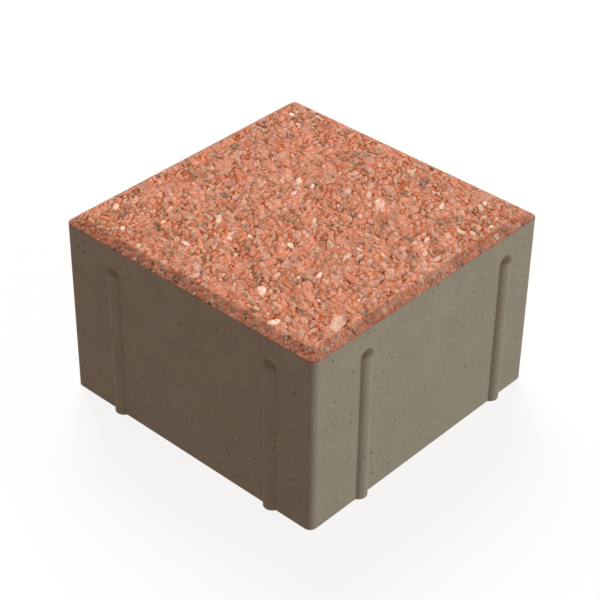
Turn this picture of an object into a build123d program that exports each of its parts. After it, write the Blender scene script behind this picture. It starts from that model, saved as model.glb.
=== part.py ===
from build123d import *
import os

# Concrete paving stone: a square block of grey core concrete with eight upright
# spacer ribs, and on it a thin bevelled layer of red face concrete.
# Millimetres. The origin is the centre of the underside, and +Z is up.
# The front side faces -Y and the left side faces -X.

# Block
side = 95.0                  # width and depth of the block without its ribs
height = 60.0                # underside to top face
corner_radius = 2.3          # rounding of the four upright edges

# Bevel round the top face. The face layer starts where the bevel starts.
bevel_width = 3.0            # how far the bevel comes in, seen from above
bevel_drop = 2.2             # how far the bevel comes down
top_corner_radius = 0.4      # corners of the top face

# Spacer ribs: rounded bars that keep the joint open between two laid stones
rib_projection = 1.5         # how far a rib stands out from its side
rib_width = 5.4              # across the rib where it meets the side
rib_root_radius = 0.5        # hollow that leads from the side into the rib
rib_dome_rise = 2.1          # height of a rib's domed top, which is flatter than half a ball
rib_top_gap = 6.1            # plain side left between a rib and the face layer
rib_seat = 2.0               # how far a rib's solid reaches into the block

# Rib centres, each measured from the nearest corner of its side. The front and
# the left side differ, and the back and right sides repeat them half a turn round.
front_rib_from_left = 20.9
front_rib_from_right = 14.5
left_rib_from_front = 15.4
left_rib_from_back = 19.5

# Sizes that follow
half_side = side / 2
core_height = height - bevel_drop
rib_half_width = rib_width / 2
rib_straight_end = core_height - rib_top_gap - rib_dome_rise


def half_rib_profile():
    """Half of a rib's section: X runs along the side and Y out of it.

    A hollow root leads from the side into a round crest, and the two arcs
    meet without a corner.
    """
    reach = (rib_half_width**2 + rib_projection**2) / (2 * rib_projection)
    crest_radius = reach - rib_root_radius
    crest_centre = Vector(0, rib_projection - crest_radius)
    root_centre = Vector(rib_half_width, rib_root_radius)
    meeting = crest_centre + (root_centre - crest_centre) * (crest_radius / reach)
    middle_of_crest = (Vector(0, rib_projection) + meeting) / 2 - crest_centre
    middle_of_root = (Vector(rib_half_width, 0) + meeting) / 2 - root_centre
    crest_top = (0, rib_projection)
    root_end = (rib_half_width, 0)
    outline = Curve() + [
        Line((0, -rib_seat), crest_top),
        ThreePointArc(
            crest_top,
            crest_centre + middle_of_crest.normalized() * crest_radius,
            meeting,
        ),
        ThreePointArc(
            meeting,
            root_centre + middle_of_root.normalized() * rib_root_radius,
            root_end,
        ),
        Polyline(root_end, (rib_half_width, -rib_seat), (0, -rib_seat)),
    ]
    return make_face(outline)


def make_rib():
    """One rib standing on Z = 0 against a side that faces +Y, with a domed top."""
    half = half_rib_profile()
    straight = extrude(half + mirror(half, Plane.YZ), rib_straight_end, dir=(0, 0, 1))
    round_dome = revolve(half, Axis.Y, -180)
    dome = scale(round_dome, by=(1, 1, rib_dome_rise / rib_half_width))
    return straight + Pos(0, 0, rib_straight_end) * dome


def rib_places():
    """Where the ribs stand: the place of each centre and the way it faces."""
    front = [-half_side + front_rib_from_left, half_side - front_rib_from_right]
    left = [-half_side + left_rib_from_front, half_side - left_rib_from_back]
    places = []
    for half_turn in (0, 180):
        turn = Rot(0, 0, half_turn)
        places += [turn * Pos(x, -half_side, 0) * Rot(0, 0, 180) for x in front]
        places += [turn * Pos(-half_side, y, 0) * Rot(0, 0, 90) for y in left]
    return places


def make_core():
    """Grey core concrete: the block below the bevel, and the ribs cast with it."""
    core = extrude(RectangleRounded(side, side, corner_radius), core_height)
    rib = make_rib()
    for place in rib_places():
        core += place * rib
    return core


def make_face_layer():
    """Red face concrete: it fills the bevelled top, and its corners taper in."""
    top_side = side - 2 * bevel_width
    lower = Pos(0, 0, core_height) * RectangleRounded(side, side, corner_radius)
    upper = Pos(0, 0, height) * RectangleRounded(top_side, top_side, top_corner_radius)
    return loft([lower, upper], ruled=True)


os.makedirs("parts", exist_ok=True)
export_step(make_core(), "parts/core_concrete.step")
export_step(make_face_layer(), "parts/face_layer.step")
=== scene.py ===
import math

import bpy
import numpy as np
from mathutils import Matrix, Vector


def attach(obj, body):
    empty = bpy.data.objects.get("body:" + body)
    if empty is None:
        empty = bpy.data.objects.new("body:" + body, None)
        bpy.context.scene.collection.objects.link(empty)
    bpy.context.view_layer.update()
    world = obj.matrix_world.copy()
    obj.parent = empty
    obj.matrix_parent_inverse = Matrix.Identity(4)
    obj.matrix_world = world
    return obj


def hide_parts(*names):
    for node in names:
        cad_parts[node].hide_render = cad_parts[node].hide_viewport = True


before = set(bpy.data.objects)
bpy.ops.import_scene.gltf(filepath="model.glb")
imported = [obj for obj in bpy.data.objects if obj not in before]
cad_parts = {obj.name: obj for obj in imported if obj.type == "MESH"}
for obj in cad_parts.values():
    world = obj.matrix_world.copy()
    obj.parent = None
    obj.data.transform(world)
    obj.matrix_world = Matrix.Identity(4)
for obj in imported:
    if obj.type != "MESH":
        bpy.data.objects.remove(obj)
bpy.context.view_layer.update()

# Looks of the concrete paving stone. Its washed red face is built as a bed of paste with
# thousands of stone chips in it, and its grey core gets the finish of smooth cast concrete.
# Metres, in the frame of the CAD model: +Z is up and the origin is the centre of the underside.
MM = 0.001

SAME_LEVEL = 0.01 * MM       # points this close to the furthest one count as level with it


def mesh_points(node):
    """All vertices of a CAD node, one row each."""
    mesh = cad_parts[node].data
    points = np.zeros(len(mesh.vertices) * 3, np.float32)
    mesh.vertices.foreach_get("co", points)
    return points.reshape(-1, 3).astype(float)


# Sizes of the face layer, read from the frame

face_points = mesh_points("face_layer")
BASE_Z = face_points[:, 2].min()
TOP_Z = face_points[:, 2].max()
SIDE_HALF = face_points[:, 0].max()
TOP_HALF = face_points[face_points[:, 2] > TOP_Z - SAME_LEVEL][:, 0].max()
BEVEL_WIDTH = SIDE_HALF - TOP_HALF
BEVEL_DROP = TOP_Z - BASE_Z
diagonal_reach = (face_points[:, 0] + face_points[:, 1]).max()
CORNER_RADIUS = (2 * SIDE_HALF - diagonal_reach) / (2 - math.sqrt(2))


# Camera, world, lamps and floor

WHITE = (1.0, 1.0, 1.0)

CAMERA_PLACE = Vector((-318.28, -287.94, 340.93)) * MM
CAMERA_AZIMUTH = -47.795     # degrees; 0 looks along +Y
CAMERA_ELEVATION = 35.966    # degrees that the camera looks down
CAMERA_ROLL = 0.836          # degrees
CAMERA_LENS = 108.69         # millimetres
CAMERA_SENSOR = 36           # millimetres wide
NEAREST_SEEN = 10 * MM
FURTHEST_SEEN = 20.0


def add_object(name, data):
    """A new object in the scene."""
    thing = bpy.data.objects.new(name, data)
    bpy.context.scene.collection.objects.link(thing)
    return thing


def make_camera():
    """The photograph's view. Its place and angles come from a fit to the stone's edges."""
    data = bpy.data.cameras.new("camera")
    data.sensor_width = CAMERA_SENSOR
    data.lens = CAMERA_LENS
    data.clip_start = NEAREST_SEEN
    data.clip_end = FURTHEST_SEEN
    camera = add_object("camera", data)
    turn = Matrix.Rotation(math.radians(CAMERA_AZIMUTH), 4, "Z")
    tilt = Matrix.Rotation(math.radians(90 - CAMERA_ELEVATION), 4, "X")
    roll = Matrix.Rotation(math.radians(CAMERA_ROLL), 4, "Z")
    camera.matrix_world = Matrix.Translation(CAMERA_PLACE) @ turn @ tilt @ roll
    bpy.context.scene.camera = camera


AMBIENT = 0.40               # strength of the light from all round
AMBIENT_TINT = (1.28, 0.98, 0.88)


def make_world():
    """White behind everything, and a plain warm ambient light on the stone."""
    world = bpy.data.worlds.new("studio")
    bpy.context.scene.world = world
    world.use_nodes = True
    tree = world.node_tree
    tree.nodes.clear()
    ambient = glow(tree, "ShaderNodeBackground", AMBIENT_TINT, AMBIENT)
    white = glow(tree, "ShaderNodeBackground", WHITE, 1)
    surface = mix_shaders(tree, seen_directly(tree), ambient, white)
    output = tree.nodes.new("ShaderNodeOutputWorld")
    tree.links.new(surface, output.inputs["Surface"])


LAMPS = {
    # direction towards the lamp, brightness on a facing surface, width in degrees, and colour
    "side_lamp": ((0.52, -0.85, 0.04), 0.67, 25, (0.86, 0.97, 1.0)),
    "top_lamp": ((0.44, 0.52, 0.73), 0.815, 36, WHITE),
}


def make_lamps():
    """Soft, distant lamps. A brightness of 1 renders a colour as it is written."""
    for name, (direction, brightness, angle, colour) in LAMPS.items():
        data = bpy.data.lights.new(name, "SUN")
        data.energy = brightness * math.pi
        data.angle = math.radians(angle)
        data.color = colour
        lamp = add_object(name, data)
        lamp.rotation_mode = "QUATERNION"
        lamp.rotation_quaternion = Vector(direction).to_track_quat("Z", "Y")
        lamp.location = Vector(direction)


FLOOR_HALF = 4.0             # half the floor's side
FLOOR_GAP = 0.02 * MM        # keeps the floor clear of the stone's underside
FLOOR_BOUNCE = (0.03, 0.03, 0.03)    # the floor's colour to the light that it throws back
FLOOR_OWN_LIGHT = 0.85       # share of the floor's white that no shadow reaches


def floor_material():
    """White where it is seen, with a faint shadow, and dark to the light that it throws back."""
    material = bpy.data.materials.new("floor")
    material.use_nodes = True
    tree = material.node_tree
    tree.nodes.clear()
    seen = seen_directly(tree)
    matt = tree.nodes.new("ShaderNodeBsdfDiffuse")
    put(tree, mix(tree, seen, FLOOR_BOUNCE, WHITE), matt.inputs["Color"])
    white = glow(tree, "ShaderNodeEmission", WHITE, 1)
    share = maths(tree, "MULTIPLY", seen, FLOOR_OWN_LIGHT)
    surface = mix_shaders(tree, share, matt.outputs[0], white)
    output = tree.nodes.new("ShaderNodeOutputMaterial")
    tree.links.new(surface, output.inputs["Surface"])
    return material


def make_floor():
    """A plain white floor, just under the stone."""
    corners = ((-1, -1), (1, -1), (1, 1), (-1, 1))
    mesh = bpy.data.meshes.new("floor")
    points = [(x * FLOOR_HALF, y * FLOOR_HALF, -FLOOR_GAP) for x, y in corners]
    mesh.from_pydata(points, [], [(0, 1, 2, 3)])
    mesh.materials.append(floor_material())
    floor = add_object("floor", mesh)


# How the chips lie on the face

CHIP_DIRECTION = 42          # degrees from +X; most chips lie roughly along it
TEXTURE_STRETCH = 1.9        # how much longer than wide patches and hollows are, the same way


# Short calls that build shader nodes

MIX_INPUTS = (6, 7)          # numbers of the inputs of a mix node that take colours
MIX_OUTPUT = 2               # and of its output that gives one


def put(tree, value, socket):
    """Links an output to a socket, or writes a plain number or colour there."""
    if isinstance(value, bpy.types.NodeSocket):
        tree.links.new(value, socket)
    elif isinstance(value, tuple):
        socket.default_value = (*value, 1)
    else:
        socket.default_value = value


def maths(tree, operation, a, b=0.0):
    """One step of arithmetic. Each side is an output or a plain number."""
    node = tree.nodes.new("ShaderNodeMath")
    node.operation = operation
    put(tree, a, node.inputs[0])
    put(tree, b, node.inputs[1])
    return node.outputs[0]


def total(tree, first, *others):
    """The sum of several values."""
    result = first
    for value in others:
        result = maths(tree, "ADD", result, value)
    return result


def swing(tree, value, middle, gain):
    """How far a value lies from this middle, times the gain."""
    return maths(tree, "MULTIPLY", maths(tree, "SUBTRACT", value, middle), gain)


def steps(tree, factor, low, high, start=0.0, end=1.0):
    """A smooth step from start, where the factor is low, to end, where it is high.

    It stays level beyond both. Low may be the greater of the two.
    """
    node = tree.nodes.new("ShaderNodeMapRange")
    node.interpolation_type = "SMOOTHSTEP"
    put(tree, factor, node.inputs["Value"])
    put(tree, low, node.inputs["From Min"])
    put(tree, high, node.inputs["From Max"])
    put(tree, start, node.inputs["To Min"])
    put(tree, end, node.inputs["To Max"])
    return node.outputs[0]


def mix(tree, factor, a, b, blend="MIX"):
    """Colour a, with colour b laid over it as far as the factor says."""
    node = tree.nodes.new("ShaderNodeMix")
    node.data_type = "RGBA"
    node.blend_type = blend
    put(tree, factor, node.inputs[0])
    put(tree, a, node.inputs[MIX_INPUTS[0]])
    put(tree, b, node.inputs[MIX_INPUTS[1]])
    return node.outputs[MIX_OUTPUT]


def times(tree, colour, tint):
    """A colour multiplied by another one."""
    return mix(tree, 1.0, colour, tint, "MULTIPLY")


def ramp(tree, factor, colours):
    """Blends evenly through the colours as the factor goes from 0 to 1."""
    node = tree.nodes.new("ShaderNodeValToRGB")
    stops = node.color_ramp.elements
    while len(stops) < len(colours):
        stops.new(0.5)
    for index, colour in enumerate(colours):
        stops[index].position = index / (len(colours) - 1)
        stops[index].color = (*colour, 1)
    put(tree, factor, node.inputs[0])
    return node.outputs[0]


def grey(tree, value):
    """A grey colour from one value."""
    node = tree.nodes.new("ShaderNodeCombineColor")
    for channel in range(3):
        tree.links.new(value, node.inputs[channel])
    return node.outputs[0]


def one_channel(tree, colour, channel=0):
    """The red, green or blue of a colour, numbered from 0."""
    node = tree.nodes.new("ShaderNodeSeparateColor")
    tree.links.new(colour, node.inputs[0])
    return node.outputs[channel]


def attribute(tree, name):
    """A value that the mesh carries at its points."""
    node = tree.nodes.new("ShaderNodeAttribute")
    node.attribute_name = name
    return node.outputs["Fac"]


def place(tree):
    """The point on the stone, in metres."""
    return tree.nodes.new("ShaderNodeTexCoord").outputs["Object"]


def turned(tree, angles):
    """The point on the stone, turned about the three axes by these angles in radians."""
    node = tree.nodes.new("ShaderNodeMapping")
    node.inputs["Rotation"].default_value = angles
    tree.links.new(place(tree), node.inputs["Vector"])
    return node.outputs[0]


def along_chips(tree):
    """The point on the stone, in axes that draw textures out the way that the chips lie."""
    node = tree.nodes.new("ShaderNodeMapping")
    node.inputs["Scale"].default_value = (1 / TEXTURE_STRETCH, 1, 1)
    where = turned(tree, (0, 0, -math.radians(CHIP_DIRECTION)))
    tree.links.new(where, node.inputs["Vector"])
    return node.outputs[0]


def reach_and_height(tree):
    """The greater of the distances from the middle along X and Y, and the height."""
    axes = tree.nodes.new("ShaderNodeSeparateXYZ")
    tree.links.new(place(tree), axes.inputs[0])
    sideways = [maths(tree, "ABSOLUTE", axes.outputs[axis]) for axis in (0, 1)]
    return maths(tree, "MAXIMUM", *sideways), axes.outputs[2]


def noise(tree, kind, where=None):
    """Soft noise, mostly from 0.3 to 0.7. A kind is its feature size, detail and roughness."""
    size, detail, roughness = kind
    node = tree.nodes.new("ShaderNodeTexNoise")
    node.inputs["Scale"].default_value = 1 / size
    node.inputs["Detail"].default_value = detail
    node.inputs["Roughness"].default_value = roughness
    tree.links.new(where or place(tree), node.inputs["Vector"])
    return node.outputs["Fac"]


def grains(tree, size, where):
    """Cells of this size: the distance from each cell's point, and a random colour for each."""
    node = tree.nodes.new("ShaderNodeTexVoronoi")
    node.inputs["Scale"].default_value = 1 / size
    tree.links.new(where, node.inputs["Vector"])
    return node.outputs["Distance"], node.outputs["Color"]


def bump(tree, height, depth, strength=1.0, under=None):
    """A normal from a height of 0 to 1 that stands for this depth in metres."""
    node = tree.nodes.new("ShaderNodeBump")
    node.inputs["Strength"].default_value = strength
    node.inputs["Distance"].default_value = depth
    tree.links.new(height, node.inputs["Height"])
    if under is not None:
        tree.links.new(under, node.inputs["Normal"])
    return node.outputs[0]


def seen_directly(tree):
    """A value of 1 for camera, glossy and transmission rays, and 0 for the rest."""
    path = tree.nodes.new("ShaderNodeLightPath")
    camera_or_glossy = maths(
        tree, "MAXIMUM", path.outputs["Is Camera Ray"], path.outputs["Is Glossy Ray"]
    )
    return maths(tree, "MAXIMUM", camera_or_glossy, path.outputs["Is Transmission Ray"])


def glow(tree, kind, colour, strength):
    """A background or emission shader."""
    node = tree.nodes.new(kind)
    node.inputs["Color"].default_value = (*colour, 1)
    node.inputs["Strength"].default_value = strength
    return node.outputs[0]


def mix_shaders(tree, share, a, b):
    """Shader a, with this share of shader b."""
    node = tree.nodes.new("ShaderNodeMixShader")
    tree.links.new(share, node.inputs[0])
    tree.links.new(a, node.inputs[1])
    tree.links.new(b, node.inputs[2])
    return node.outputs[0]


def new_material(name):
    """A material, its node tree and its main shader."""
    material = bpy.data.materials.new(name)
    material.use_nodes = True
    return material, material.node_tree, material.node_tree.nodes["Principled BSDF"]


# Materials of the washed face

# A noise is the size of its features, its detail and its roughness. A step is the value where
# it starts, the value where it ends and, for some, what it gives before and after.

PASTE_LIGHT = (0.69, 0.295, 0.185)
PASTE_MIDDLE = (0.635, 0.220, 0.110)
PASTE_DEEP = (0.52, 0.155, 0.060)
# painted shade: the deep red of the paste in its hollows and at the chips' feet
PASTE_HOLLOW_SHADE = (0.42, 0.106, 0.018)
PASTE_PATCHES = (3.0 * MM, 4, 0.65)
PASTE_PATCH_STEP = (0.33, 0.67)
PASTE_ROUGHNESS = 0.88
PASTE_SPECULAR = 0.25
# where the painted shade in the paste's hollows sets in and where it is full
HOLLOW_SHADE_STEP = (0.18, 0.85)

SAND_PALE = (0.63, 0.36, 0.27)
SAND_DARK = (0.32, 0.18, 0.105)
SAND_SIZES = (1.25 * MM, 0.7 * MM)
SAND_EDGE_STEP = (0.62, 0.30)
PALE_SAND_STEP = (0.50, 0.75, 0.0, 0.75)
DARK_SAND_STEP = (0.24, 0.12, 0.0, 0.6)

GRIT = (0.35 * MM, 3, 0.7)
GRIT_DEPTH = 0.12 * MM
SAND_DEPTH = 0.08 * MM
SAND_STRENGTH = 0.8

BROAD_PATCHES = (4 * MM, 2, 0.6)
BROAD_PATCH_STEP = (0.30, 0.70, 0.88, 1.12)
BEVEL_PAINTED_SHADE = (0.775, 0.78, 0.79)     # painted shade: the bevels are this much darker than the top
BEVEL_STEP = (-0.05 * MM, 0.15 * MM)    # measured outwards from the top's edge


def paste_colour(tree):
    """Red pigmented cement with sand in it, and the distance within each of its finest grains."""
    where = along_chips(tree)
    patches = steps(tree, noise(tree, PASTE_PATCHES, where), *PASTE_PATCH_STEP)
    colour = ramp(tree, patches, (PASTE_DEEP, PASTE_MIDDLE, PASTE_LIGHT))
    for size in SAND_SIZES:
        distance, random_colour = grains(tree, size, where)
        value = one_channel(tree, random_colour)
        spot = steps(tree, distance, *SAND_EDGE_STEP)
        pale = maths(tree, "MULTIPLY", spot, steps(tree, value, *PALE_SAND_STEP))
        colour = mix(tree, pale, colour, SAND_PALE)
        dark = maths(tree, "MULTIPLY", spot, steps(tree, value, *DARK_SAND_STEP))
        colour = mix(tree, dark, colour, SAND_DARK)
    return colour, distance


def on_bevels(tree):
    """A value of 1 on the bevels and 0 on the top."""
    reach, _ = reach_and_height(tree)
    return steps(tree, reach, *(TOP_HALF + offset for offset in BEVEL_STEP))


def shaded(tree, colour):
    """The same colour in broad lighter and darker patches, and with painted shade on the bevels.
    """
    patches = steps(tree, noise(tree, BROAD_PATCHES, along_chips(tree)), *BROAD_PATCH_STEP)
    # painted shade on the bevels
    colour = mix(tree, on_bevels(tree), colour, times(tree, colour, BEVEL_PAINTED_SHADE))
    return times(tree, colour, grey(tree, patches))


def paste_material():
    """The bed between the chips. Its hollows, marked by the mesh, get painted shade that deepens
    their colour.
    """
    material, tree, bsdf = new_material("red_paste")
    colour, distance = paste_colour(tree)
    # painted shade in the paste's hollows
    hollow_shade = steps(tree, attribute(tree, "hollow_shade"), *HOLLOW_SHADE_STEP)
    colour = mix(tree, hollow_shade, colour, PASTE_HOLLOW_SHADE)
    put(tree, shaded(tree, colour), bsdf.inputs["Base Color"])
    bsdf.inputs["Roughness"].default_value = PASTE_ROUGHNESS
    bsdf.inputs["Specular IOR Level"].default_value = PASTE_SPECULAR
    grit = bump(tree, noise(tree, GRIT), GRIT_DEPTH)
    put(tree, bump(tree, distance, SAND_DEPTH, SAND_STRENGTH, grit), bsdf.inputs["Normal"])
    return material


CHIP_KINDS = {
    # The shares add up to 1, and the film is how much paste the washing leaves on them.
    "rose_chips": {
        "share": 0.405, "film": 0.55, "roughness": 0.82,
        "colours": ((0.43, 0.225, 0.143), (0.56, 0.31, 0.215), (0.67, 0.41, 0.305)),
    },
    "salmon_chips": {
        "share": 0.325, "film": 0.80, "roughness": 0.88,
        "colours": ((0.54, 0.215, 0.112), (0.64, 0.265, 0.158), (0.72, 0.345, 0.235)),
    },
    "grey_chips": {
        "share": 0.17, "film": 0.49, "roughness": 0.78,
        "colours": ((0.17, 0.093, 0.050), (0.35, 0.200, 0.124), (0.58, 0.375, 0.26)),
    },
    "brown_chips": {
        "share": 0.06, "film": 0.38, "roughness": 0.75,
        "colours": ((0.14, 0.070, 0.036), (0.26, 0.146, 0.083), (0.45, 0.275, 0.18)),
    },
    "cream_chips": {
        "share": 0.03, "film": 0.40, "roughness": 0.70,
        "colours": ((0.60, 0.37, 0.26), (0.71, 0.475, 0.35), (0.81, 0.59, 0.455)),
    },
    "quartz_chips": {
        "share": 0.01, "film": 0.36, "roughness": 0.45,
        "colours": ((0.62, 0.43, 0.31), (0.74, 0.57, 0.44), (0.87, 0.735, 0.605)),
    },
}
CHIP_TONE = 0.45             # how much the shade varies from chip to chip
CRYSTAL_TONE = 0.8           # and from crystal to crystal
CRYSTAL_SIZE = 0.8 * MM
MOTTLE = (1.2 * MM, 4, 0.75)
MOTTLE_SWING = (0.54, 5.5)   # middle of the noise and its gain, as for the film below
FILM_PATCHES = (1.1 * MM, 4, 0.70)
FILM_PATCH_SWING = (0.5, 4.0)
FILM_ZONES = (5 * MM, 2, 0.5)
FILM_ZONE_SWING = (0.5, 1.9)
BEVEL_FILM = 0.25            # film that the bevels keep beyond the top's
FILM_STEP = (0.62, 1.32)     # for a kind whose film is 0
FILM_SHADE_STEP = (0.38, 0.82)    # how far sunk a chip is where painted shade deepens the colour of its film
CHIP_SPECULAR = 0.35
CHIP_GRAIN = (0.6 * MM, 3, 0.6)
CHIP_GRAIN_DEPTH = 0.11 * MM


def stone_colour(tree, colours):
    """Mottled stone, with a tone of its own for each chip and each crystal."""
    where = along_chips(tree)
    tone = maths(tree, "MULTIPLY", attribute(tree, "tone"), CHIP_TONE)
    _, crystal_colour = grains(tree, CRYSTAL_SIZE, where)
    crystals = maths(tree, "MULTIPLY", one_channel(tree, crystal_colour), CRYSTAL_TONE)
    mottle = swing(tree, noise(tree, MOTTLE, where), *MOTTLE_SWING)
    return ramp(tree, total(tree, tone, crystals, mottle), colours)


def film_cover(tree, film):
    """How far paste hides a chip: more towards the bed, in small patches and broad zones."""
    patches = swing(tree, noise(tree, FILM_PATCHES, along_chips(tree)), *FILM_PATCH_SWING)
    zones = swing(tree, noise(tree, FILM_ZONES), *FILM_ZONE_SWING)
    less_washed = maths(tree, "MULTIPLY", on_bevels(tree), BEVEL_FILM)
    thickness = total(tree, patches, attribute(tree, "sunk"), zones, less_washed)
    return steps(tree, thickness, *(level - film for level in FILM_STEP))


def chip_material(name):
    """Stone of one kind under a film of red paste, whose colour painted shade deepens towards the
    bed.
    """
    kind = CHIP_KINDS[name]
    material, tree, bsdf = new_material(name)
    stone = stone_colour(tree, kind["colours"])
    covered = film_cover(tree, kind["film"])
    paste, _ = paste_colour(tree)
    # painted shade on the film, deeper towards the bed
    film_shade = steps(tree, attribute(tree, "sunk"), *FILM_SHADE_STEP)
    paste = mix(tree, film_shade, paste, PASTE_HOLLOW_SHADE)
    put(tree, shaded(tree, mix(tree, covered, stone, paste)), bsdf.inputs["Base Color"])
    roughness = steps(tree, covered, 0, 1, kind["roughness"], PASTE_ROUGHNESS)
    put(tree, roughness, bsdf.inputs["Roughness"])
    bsdf.inputs["Specular IOR Level"].default_value = CHIP_SPECULAR
    put(tree, bump(tree, noise(tree, CHIP_GRAIN), CHIP_GRAIN_DEPTH), bsdf.inputs["Normal"])
    return material


# Shape of the washed face

BEVEL_ROUNDING = 0.25 * MM   # over how much height the bevel's upper edge is rounded
LINE_WASH = 0.4 * MM         # width over which the washing sets in at the face layer's line
BEVEL_WASH = 0.55            # strength of the washing on the bevels
TOP_WASH_START = 0.3 * MM    # how far outside the top's edge it starts to grow to full strength
TOP_WASH_WIDTH = 0.9 * MM    # width over which it grows


def edge_distance(x, y):
    """How far points lie inside the face layer's outline, a square with round corners."""
    over_x = np.abs(x) - (SIDE_HALF - CORNER_RADIUS)
    over_y = np.abs(y) - (SIDE_HALF - CORNER_RADIUS)
    outside = np.hypot(np.maximum(over_x, 0), np.maximum(over_y, 0))
    inside = np.minimum(np.maximum(over_x, over_y), 0)
    return CORNER_RADIUS - outside - inside


def soft_min(a, b, blend):
    """The lesser of two heights, rounded over where they meet."""
    nearness = np.clip(0.5 + 0.5 * (b - a) / blend, 0, 1)
    return b + (a - b) * nearness - blend * nearness * (1 - nearness)


def plain_height(x, y):
    """The top and the bevels as the mould leaves them, before washing."""
    slope = BEVEL_DROP / BEVEL_WIDTH
    return BASE_Z + soft_min(edge_distance(x, y) * slope, BEVEL_DROP, BEVEL_ROUNDING)


def wash(x, y):
    """Strength of the washing: full on the top, less on the bevels and none at the line."""
    distance = edge_distance(x, y)
    at_line = np.clip(distance / LINE_WASH, 0, 1)
    on_top = np.clip((distance - BEVEL_WIDTH + TOP_WASH_START) / TOP_WASH_WIDTH, 0, 1)
    return at_line * (BEVEL_WASH + (1 - BEVEL_WASH) * on_top)


def value_noise(rng, x, y, cell):
    """Smooth noise from -1 to 1, from random values on a square grid of this cell size.

    The grid reaches twice as far as the stone, with cells to spare at its edges, so that it
    also holds points in turned axes.
    """
    reach = 2 * SIDE_HALF
    count = int(2 * reach / cell) + 4
    values = rng.uniform(-1, 1, (count, count))
    across = (x + reach) / cell + 1
    along = (y + reach) / cell + 1
    i = np.floor(across).astype(int)
    j = np.floor(along).astype(int)
    u = across - i
    v = along - j
    u = u * u * (3 - 2 * u)
    v = v * v * (3 - 2 * v)
    near = values[i, j] * (1 - u) + values[i + 1, j] * u
    far = values[i, j + 1] * (1 - u) + values[i + 1, j + 1] * u
    return near * (1 - v) + far * v


def add_mesh(name, points, loops, loop_counts, attributes, uvs, material):
    """A piece of the face from arrays: one value of an attribute per vertex, one UV per loop."""
    mesh = bpy.data.meshes.new(name)
    mesh.vertices.add(len(points))
    mesh.vertices.foreach_set("co", points.astype(np.float32).ravel())
    mesh.loops.add(len(loops))
    mesh.loops.foreach_set("vertex_index", loops.astype(np.int32))
    mesh.polygons.add(len(loop_counts))
    starts = np.concatenate(([0], np.cumsum(loop_counts)[:-1])).astype(np.int32)
    mesh.polygons.foreach_set("loop_start", starts)
    mesh.update(calc_edges=True)
    mesh.validate()
    mesh.polygons.foreach_set("use_smooth", np.ones(len(loop_counts), bool))
    for key, values in attributes.items():
        layer = mesh.attributes.new(key, "FLOAT", "POINT")
        layer.data.foreach_set("value", values.astype(np.float32))
    layer = mesh.uv_layers.new(name="OFBake")
    layer.data.foreach_set("uv", uvs.astype(np.float32).ravel())
    mesh.materials.append(material)
    piece = add_object(name, mesh)
    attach(piece, "root")
    return piece


# Bed of red paste

RELIEF_SEED = 7
BED_CELLS = 312              # cells along each side of the bed's grid
BED_DEPTH = 0.265 * MM       # mean depth of the paste below the plain surface, holes aside
BED_NOISE = (
    # size of the features, and how far they change the depth, as a share of it
    (5.0 * MM, 0.16),
    (1.7 * MM, 0.34),
    (0.8 * MM, 0.28),
    (0.45 * MM, 0.14),
)
HOLE_SIZE = 1.5 * MM
HOLE_START = 0.42            # value of the noise, up to 1, beyond which there is a hole
HOLE_DEPTH = 0.7 * MM        # how much deeper a hole gets as the noise grows by 1
LEAST_DEPTH = 0.02 * MM
GREATEST_SHARE = 0.75        # greatest depth, as a share of the plain height above the core
HOLLOW_SHADE_START = 0.6           # share of the mean depth beyond which the paste is marked for painted shade in its hollows
LEAST_RADIUS = 0.000001 * MM     # stands for 0, which can't be divided by
UNDER_UV = 0.1               # side of the underside's part of the UV square
TOP_UV = 0.89                # side of the top's part
TOP_UV_START = 0.105         # where the top's part starts


def round_corners(x, y):
    """Moves a square grid's points so that its rim follows the outline's round corners."""
    reach = np.maximum(np.abs(x), np.abs(y))
    other = np.minimum(np.abs(x), np.abs(y))
    radius = np.maximum(CORNER_RADIUS - (SIDE_HALF - reach), LEAST_RADIUS)
    straight = reach - radius
    past = np.clip((other - straight) / radius, 0, 1) * math.pi / 4
    in_corner = other > straight
    major = np.where(in_corner, straight + radius * np.cos(past), reach)
    minor = np.where(in_corner, straight + radius * np.sin(past), other)
    x_leads = np.abs(x) >= np.abs(y)
    new_x = np.sign(x) * np.where(x_leads, major, minor)
    new_y = np.sign(y) * np.where(x_leads, minor, major)
    return new_x, new_y


def bed_relief(x, y):
    """Depth of the washed paste below the plain surface."""
    rng = np.random.default_rng(RELIEF_SEED)
    turn = math.radians(CHIP_DIRECTION)
    along = (x * math.cos(turn) + y * math.sin(turn)) / TEXTURE_STRETCH
    across = y * math.cos(turn) - x * math.sin(turn)
    level = 1
    for size, share in BED_NOISE:
        level = level + share * value_noise(rng, along, across, size)
    holes = np.maximum(value_noise(rng, along, across, HOLE_SIZE) - HOLE_START, 0)
    depth = np.maximum(BED_DEPTH * level + HOLE_DEPTH * holes, LEAST_DEPTH) * wash(x, y)
    return np.minimum(depth, GREATEST_SHARE * (plain_height(x, y) - BASE_Z))


def bed_faces():
    """Quads of the top, triangles of the flat underside round a last point, and the rim."""
    rows = BED_CELLS + 1
    index = np.arange(rows * rows).reshape(rows, rows)
    corners = (index[:-1, :-1], index[1:, :-1], index[1:, 1:], index[:-1, 1:])
    quads = np.stack(corners, -1).reshape(-1, 4)
    rim = np.concatenate((index[:-1, 0], index[-1, :-1], index[:0:-1, -1], index[0, :0:-1]))
    centre = np.full(len(rim), rows * rows)
    fan = np.column_stack((np.roll(rim, -1), rim, centre))
    return quads, fan, rim


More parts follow.
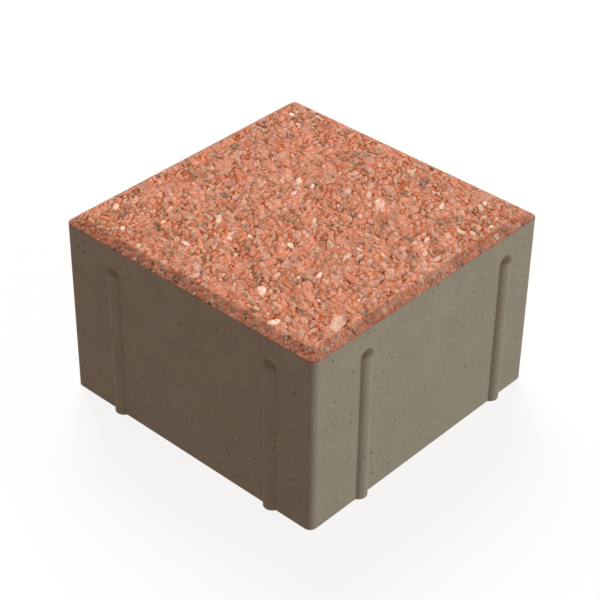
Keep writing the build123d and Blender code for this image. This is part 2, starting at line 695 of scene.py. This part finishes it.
def make_bed():
    """A closed pillow of red paste with a washed top, which replaces the plain CAD layer."""
    line = np.linspace(-SIDE_HALF, SIDE_HALF, BED_CELLS + 1)
    grid_x, grid_y = np.meshgrid(line, line, indexing="ij")
    x, y = round_corners(grid_x.ravel(), grid_y.ravel())
    relief = bed_relief(x, y)
    quads, fan, rim = bed_faces()
    points = np.column_stack((x, y, plain_height(x, y) - relief))
    points[rim, 2] = BASE_Z
    points = np.vstack((points, (0, 0, BASE_Z)))
    # how deep the paste lies in its hollows, which sets their painted shade
    hollow_shade = np.append(relief / BED_DEPTH - HOLLOW_SHADE_START, 0)
    loops = np.concatenate((quads.ravel(), fan.ravel()))
    counts = np.concatenate((np.full(len(quads), 4), np.full(len(fan), 3)))
    flat = points[loops, :2] / (2 * SIDE_HALF) + 0.5
    under = np.arange(len(loops)) >= quads.size
    uvs = np.where(under[:, None], flat * UNDER_UV, flat * TOP_UV + TOP_UV_START)
    material = paste_material()
    bed = add_mesh("paste_bed", points, loops, counts, {"hollow_shade": hollow_shade}, uvs, material)
    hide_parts("face_layer")


# Where the chips lie

CHIP_SEED = 21
CHIP_SIZES = {
    # how many are thrown, least and greatest mean radius in mm, rings and sectors of their mesh
    "large": (70, 1.70, 2.50, 9, 22),
    "medium": (1050, 1.00, 1.70, 6, 14),
    "small": (2600, 0.56, 0.95, 4, 11),
    "sand": (2200, 0.30, 0.50, 2, 7),
}
# kinds of the large chips, of which rose is twice as likely
LARGE_KINDS = ("rose_chips", "rose_chips", "salmon_chips")
PLACED_CHIPS = (
    # the most striking chips, set where the photograph shows them and made as large ones:
    # x, y and mean radius in mm, and kind
    (-32.6, -42.0, 3.1, "cream_chips"),
    (-36.8, -44.2, 2.6, "rose_chips"),
    (5.7, 8.9, 1.3, "quartz_chips"),
    (-19.0, 14.9, 2.0, "cream_chips"),
    (-18.9, 2.6, 1.2, "quartz_chips"),
    (17.9, -13.3, 2.9, "cream_chips"),
    (29.8, -26.2, 1.2, "quartz_chips"),
    (19.3, -36.9, 1.7, "cream_chips"),
    (-43.0, -29.3, 2.1, "quartz_chips"),
    (-35.4, -17.6, 2.0, "cream_chips"),
    (7.0, 18.2, 2.3, "rose_chips"),
    (0.9, 31.6, 2.5, "rose_chips"),
    (-19.7, -23.9, 1.3, "quartz_chips"),
    (-4.1, 25.6, 1.9, "brown_chips"),
    (16.5, 0.4, 1.4, "brown_chips"),
)
SMALLER_BIAS = 1.6           # 1 spreads the radii evenly, and more favours the smaller ones
ROOM_CELL = 0.2 * MM         # cell of the grid that holds how much room is left
ROOM_REACH = 2.2             # radii from a chip's middle within which it lowers that room
ROOM_AT_LINE = 0.15 * MM     # room that is kept free along the face layer's outline
CLOSENESS = 0.74             # least distance of two chips, as a share of their radii added up
TRIES = 40                   # places tried for each chip before it is left out


def take_room(room, line, x, y, radius):
    """Lowers the room that is left for other chips round this one."""
    near_x = np.abs(line - x) < ROOM_REACH * radius
    near_y = np.abs(line - y) < ROOM_REACH * radius
    away = np.hypot(line[near_x, None] - x, line[None, near_y] - y)
    window = np.ix_(near_x, near_y)
    room[window] = np.minimum(room[window], away - radius * CLOSENESS)


def scatter(rng):
    """Lays the placed chips and throws the others, the largest first.

    Returns a row for each: x, y, mean radius and the number of its size.
    """
    cells = int(2 * SIDE_HALF / ROOM_CELL)
    line = (np.arange(cells) + 0.5) * ROOM_CELL - SIDE_HALF
    room = edge_distance(*np.meshgrid(line, line, indexing="ij")) - ROOM_AT_LINE
    chips = [(x * MM, y * MM, radius * MM, 0) for x, y, radius, _ in PLACED_CHIPS]
    for x, y, radius, _ in chips:
        take_room(room, line, x, y, radius)
    for size, (count, least, greatest, _, _) in enumerate(CHIP_SIZES.values()):
        spread = rng.random(count) ** SMALLER_BIAS
        for radius in sorted((least + (greatest - least) * spread) * MM, reverse=True):
            for i, j in rng.integers(cells, size=(TRIES, 2)):
                if room[i, j] >= radius * CLOSENESS:
                    take_room(room, line, line[i], line[j], radius)
                    chips.append((line[i], line[j], radius, size))
                    break
    return np.array(chips)


# Shape of the chips

CUTS = 9                     # planes that cut a ball: one on top, one beneath, the rest round it
SIDE_CUT_TURN = 0.35         # how unevenly those stand, as a share of their spacing
SIDE_CUT_LEAN = (-0.15, 0.65)     # radians by which they face upwards
SIDE_CUT_REACH = (0.74, 1.05)     # their distances from the middle of a ball of radius 1
TOP_CUT_TILT = 0.16          # how far the one on top is from level
TOP_CUT_REACH = (0.62, 0.90)
UNDER_CUT_REACH = 0.8
SHARPNESS = (9, 26)          # how sharp the edges between the cuts are
CHIP_STRETCH = (0.25, 0.60)  # by how much a chip is lengthened one way and narrowed the other
CHIP_RISE = (0.8, 1.15)      # half its height before the cuts, as a share of its radius
GREATEST_RISE = 1.4 * MM
TURN_SPREAD = 20             # degrees; spread of their turns out of the common direction
SINK_SPREAD = 0.10 * MM      # spread of how much deeper some of them lie
SMALL_RADIUS = 0.6 * MM      # smaller chips lie deeper still,
SMALL_SINK = 0.7             # by this share of what their radius falls short
TOP_LEVEL = (0.60, 0.95)     # share of a chip's upper half that stays below the plain surface
SKIN_GAP = 0.02 * MM         # the rest is cut off level with it, this far down,
SKIN_SINK = 0.5              # and further by this share of how much deeper the chip lies
OUTLINE_GAP = 0.08 * MM      # distance that points keep from the face layer's outline
PUSH_BACK = 1.5              # a nearer point is moved in by this many times what it lacks
CORE_GAP = 0.05 * MM         # least height above the core
FILM_DEPTH = 0.42 * MM       # depth below the plain surface that is 1 in the sunk attribute
MOST_SUNK = 2
DISC_MIDDLE = 0.5            # a chip's UVs fill a disc in its cell of the UV square
DISC_RADIUS = 0.48


def ball(rings, sectors):
    """A unit ball: its points, its triangles and a flat UV for each corner of a triangle."""
    polar = np.linspace(0, math.pi, rings + 2)
    step = 2 * math.pi / sectors
    turn = np.arange(sectors) * step
    circle = np.column_stack((np.cos(turn), np.sin(turn)))
    around = [
        np.column_stack((math.sin(angle) * circle, np.full(sectors, math.cos(angle))))
        for angle in polar[1:-1]
    ]
    points = np.vstack(((0, 0, 1), *around, (0, 0, -1)))
    corners = []
    for here in range(sectors):
        there = here + 1
        corners += [(0, here), (1, here), (1, there)]
        for ring in range(1, rings):
            corners += [(ring, here), (ring + 1, here), (ring + 1, there)]
            corners += [(ring, here), (ring + 1, there), (ring, there)]
        corners += [(rings, here), (rings + 1, here + 0.5), (rings, there)]

    def number(ring, sector):
        """A point's number. The first and the last ring are one point each."""
        if ring == 0:
            return 0
        if ring > rings:
            return len(points) - 1
        return 1 + (ring - 1) * sectors + sector % sectors

    faces = np.array([number(*corner) for corner in corners]).reshape(-1, 3)
    ring_of, sector_of = np.array(corners).T
    outwards = DISC_RADIUS * polar[ring_of.astype(int)] / math.pi
    flat = np.column_stack((np.cos(sector_of * step), np.sin(sector_of * step)))
    return points, faces, DISC_MIDDLE + outwards[:, None] * flat


def crushed(rng, directions, count):
    """Angular stones: a ball cut by planes that face random ways, one on top and one beneath."""
    spacing = 2 * math.pi / (CUTS - 2)
    uneven = rng.uniform(-SIDE_CUT_TURN, SIDE_CUT_TURN, (count, CUTS))
    turn = (np.arange(CUTS)[None] + uneven) * spacing
    lean = rng.uniform(*SIDE_CUT_LEAN, (count, CUTS))
    level = np.cos(lean)
    normals = np.stack((np.cos(turn) * level, np.sin(turn) * level, np.sin(lean)), -1)
    reach = rng.uniform(*SIDE_CUT_REACH, (count, CUTS))
    tilt = rng.uniform(-TOP_CUT_TILT, TOP_CUT_TILT, (count, 2))
    normals[:, 0] = np.column_stack((tilt, np.ones(count)))
    reach[:, 0] = rng.uniform(*TOP_CUT_REACH, count)
    normals[:, 1] = (0, 0, -1)
    reach[:, 1] = UNDER_CUT_REACH
    facing = np.einsum("vk,cpk->cvp", directions, normals) / reach[:, None, :]
    sharpness = rng.uniform(*SHARPNESS, (count, 1))
    nearness = (np.maximum(facing, 0) ** sharpness[:, :, None]).sum(-1)
    return directions[None] * (nearness ** (-1 / sharpness))[:, :, None]


def keep_inside(x, y):
    """Moves points that stick out over the face layer's outline back inside it."""
    beyond = np.minimum(edge_distance(x, y) - OUTLINE_GAP, 0)
    reach = np.maximum(np.hypot(x, y), MM)
    return x + beyond * x / reach * PUSH_BACK, y + beyond * y / reach * PUSH_BACK


def lay_out(rng, chips, shape):
    """Stretches and turns the chips and moves them to their places, at a height of 0."""
    count = len(chips)
    middle_x, middle_y, radius, _ = chips.T
    from_bevel = (edge_distance(middle_x, middle_y) - BEVEL_WIDTH) / radius
    stretch = 1 + rng.uniform(*CHIP_STRETCH, count) * np.clip(from_bevel, 0, 1)
    rise = np.minimum(radius * rng.uniform(*CHIP_RISE, count), GREATEST_RISE)
    along = shape[:, :, 0] * (radius * stretch)[:, None]
    across = shape[:, :, 1] * (radius / stretch)[:, None]
    up = shape[:, :, 2] * rise[:, None]
    spread = rng.normal(0, math.radians(TURN_SPREAD), count)
    turn = math.radians(CHIP_DIRECTION) + spread[:, None]
    x = middle_x[:, None] + along * np.cos(turn) - across * np.sin(turn)
    y = middle_y[:, None] + along * np.sin(turn) + across * np.cos(turn)
    return x, y, up


def make_stones(rng, chips, directions):
    """Points of every chip, in place and set into the paste."""
    count = len(chips)
    x, y, up = lay_out(rng, chips, crushed(rng, directions, count))
    middle_x, middle_y, radius, _ = chips.T
    sink = np.abs(rng.normal(0, SINK_SPREAD, count))
    sink = sink + np.maximum(SMALL_RADIUS - radius, 0) * SMALL_SINK
    sink = sink * wash(middle_x, middle_y)
    middle_z = plain_height(middle_x, middle_y) - sink - up.max(1) * rng.uniform(*TOP_LEVEL, count)
    skin = plain_height(x, y) - (SKIN_GAP + sink * SKIN_SINK)[:, None]
    z = np.minimum(middle_z[:, None] + up, skin)
    x, y = keep_inside(x, y)
    z = np.minimum(z, plain_height(x, y) - SKIN_GAP)
    return np.stack((x, y, np.maximum(z, BASE_Z + CORE_GAP)), -1)


def join_kind(rng, chips, name):
    """One mesh of all the chips of one kind, with a cell of the UV square for each chip."""
    side = math.ceil(math.sqrt(len(chips)))
    points, loops, tones, uvs = [], [], [], []
    first_point = 0
    first_chip = 0
    for size, (_, _, _, rings, sectors) in enumerate(CHIP_SIZES.values()):
        group = chips[chips[:, 3] == size]
        if not len(group):
            continue
        directions, faces, flat = ball(rings, sectors)
        stones = make_stones(rng, group, directions)
        count, each = stones.shape[:2]
        starts = first_point + np.arange(count) * each
        cell = first_chip + np.arange(count)
        corner = np.stack((cell % side, cell // side), -1)
        points.append(stones.reshape(-1, 3))
        loops.append((faces[None] + starts[:, None, None]).ravel())
        tones.append(np.repeat(rng.random(count), each))
        uvs.append(((corner[:, None] + flat[None]) / side).reshape(-1, 2))
        first_point += count * each
        first_chip += count
    points = np.vstack(points)
    loops = np.concatenate(loops)
    sunk = (plain_height(points[:, 0], points[:, 1]) - points[:, 2]) / FILM_DEPTH
    attributes = {"tone": np.concatenate(tones), "sunk": np.clip(sunk, 0, MOST_SUNK)}
    counts = np.full(len(loops) // 3, 3)
    add_mesh(name, points, loops, counts, attributes, np.vstack(uvs), chip_material(name))


def make_chips():
    """Scatters the chips and shares them out among the kinds of stone."""
    rng = np.random.default_rng(CHIP_SEED)
    chips = scatter(rng)
    names = np.array(list(CHIP_KINDS))
    shares = [kind["share"] for kind in CHIP_KINDS.values()]
    kinds = names[rng.choice(len(names), len(chips), p=shares)]
    large = chips[:, 3] == 0
    kinds[large] = rng.choice(LARGE_KINDS, large.sum())
    kinds[:len(PLACED_CHIPS)] = [name for _, _, _, name in PLACED_CHIPS]
    for name in CHIP_KINDS:
        join_kind(rng, chips[kinds == name], name)


# Grey core

CORE_LIGHT = (0.431, 0.383, 0.293)
CORE_MIDDLE = (0.419, 0.371, 0.283)
CORE_DARK = (0.405, 0.356, 0.271)
CLOUDS = (9 * MM, 4, 0.6)
CLOUD_STEP = (0.30, 0.70)
CORE_GRAIN = (1.1 * MM, 4, 0.65)
CORE_GRAIN_STEP = (0.32, 0.68, 0.965, 1.035)
CORE_ROUGHNESS = 0.85
CORE_SPECULAR = 0.25
CORE_BUMPS = (0.6 * MM, 4, 0.6)
CORE_BUMP_DEPTH = 0.04 * MM

PORE_COLOUR = (0.09, 0.07, 0.05)
PORE_CELL = 2.3 * MM         # each cell has one pore
PORE_TURN = (0.5, 0.7, 0.3)  # radians; keeps the cells from lining up with the sides
PORE_RADIUS_STEP = (0.1, 1.0, 0.05, 0.21)     # radii in cells
PORE_DARKNESS_STEP = (0.2, 1.0, 0.08, 0.62)
PORE_EDGE_STEP = (0.04, -0.06)

CAP_PAINTED_SHADE = (0.53, 0.45, 0.43)     # painted shade: the ribs' domed tops are this much darker
CAP_OUT_STEP = (0.05 * MM, 0.25 * MM)     # measured outwards from the side
CAP_UP_STEP = (-0.9 * MM, 0.8 * MM)       # measured upwards from the domes' start


def painted_cap_shade_mask(tree):
    """Where the ribs' domed tops get painted shade: 1 on them and 0 on the rest of the core."""
    points = mesh_points("core_concrete")
    proud = np.abs(points[:, :2]).max(1)
    dome_start = points[proud > proud.max() - SAME_LEVEL][:, 2].max()
    reach, height = reach_and_height(tree)
    outside = steps(tree, reach, *(SIDE_HALF + offset for offset in CAP_OUT_STEP))
    above = steps(tree, height, *(dome_start + offset for offset in CAP_UP_STEP))
    return maths(tree, "MULTIPLY", outside, above)


def core_colour(tree):
    """Grey cement with faint clouds, fine grain and small dark pores."""
    clouds = steps(tree, noise(tree, CLOUDS), *CLOUD_STEP)
    colour = ramp(tree, clouds, (CORE_DARK, CORE_MIDDLE, CORE_LIGHT))
    grain = steps(tree, noise(tree, CORE_GRAIN), *CORE_GRAIN_STEP)
    colour = times(tree, colour, grey(tree, grain))
    distance, random_colour = grains(tree, PORE_CELL, turned(tree, PORE_TURN))
    radius = steps(tree, one_channel(tree, random_colour, 0), *PORE_RADIUS_STEP)
    darkness = steps(tree, one_channel(tree, random_colour, 1), *PORE_DARKNESS_STEP)
    pore = steps(tree, maths(tree, "SUBTRACT", distance, radius), *PORE_EDGE_STEP)
    return mix(tree, maths(tree, "MULTIPLY", pore, darkness), colour, PORE_COLOUR)


def core_material():
    """Smooth cast concrete, with painted shade on the domed tops of its ribs."""
    material, tree, bsdf = new_material("grey_core")
    colour = core_colour(tree)
    # painted shade on the ribs' domed tops
    colour = mix(tree, painted_cap_shade_mask(tree), colour, times(tree, colour, CAP_PAINTED_SHADE))
    put(tree, colour, bsdf.inputs["Base Color"])
    bsdf.inputs["Roughness"].default_value = CORE_ROUGHNESS
    bsdf.inputs["Specular IOR Level"].default_value = CORE_SPECULAR
    put(tree, bump(tree, noise(tree, CORE_BUMPS), CORE_BUMP_DEPTH), bsdf.inputs["Normal"])
    return material


def dress_core():
    """Gives the core's own mesh its material."""
    material = core_material()
    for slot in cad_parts["core_concrete"].material_slots:
        slot.material = material


make_camera()
make_world()
make_lamps()
make_floor()
make_bed()
make_chips()
dress_core()

scene = bpy.context.scene
scene.view_settings.view_transform = "Standard"
